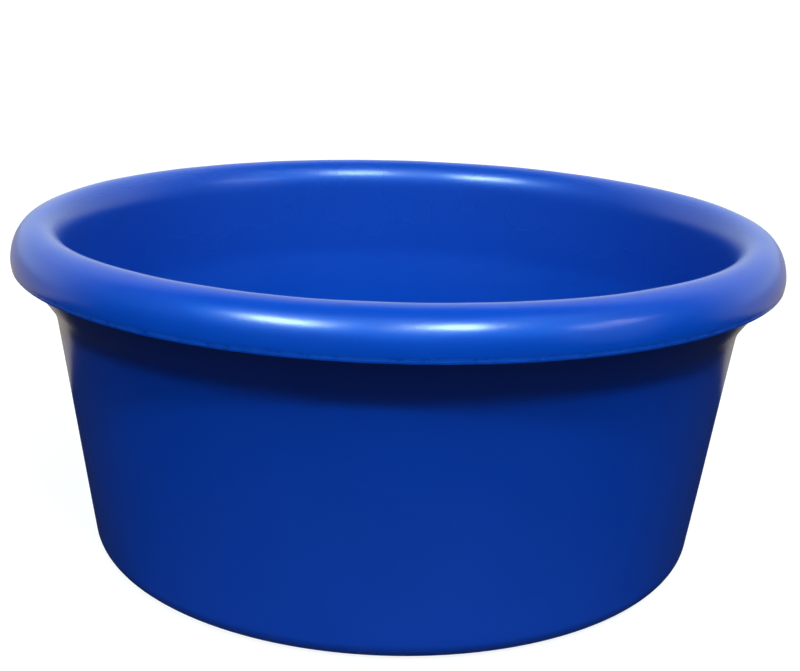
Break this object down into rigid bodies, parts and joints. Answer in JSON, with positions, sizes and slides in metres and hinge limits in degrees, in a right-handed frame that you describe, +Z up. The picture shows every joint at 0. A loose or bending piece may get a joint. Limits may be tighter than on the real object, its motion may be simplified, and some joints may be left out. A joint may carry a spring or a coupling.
{
  "type": "mortar mixing tub",
  "caption": "Round open mixing tub with a tapered wall, rounded base edge, flared neck and thick rolled rim.",
  "frame": {"origin": "centre of the flat underside of the base", "axes": "+Z up along the tub's axis of symmetry, out of the open mouth"},
  "size_m": [0.7, 0.7, 0.306],
  "materials": {
    "shell": "gloss",
    "rim": "gloss"
  },
  "bodies": {
    "root": {"tub_shell": "shell", "rim_bead": "rim"}
  },
  "joints": []
}
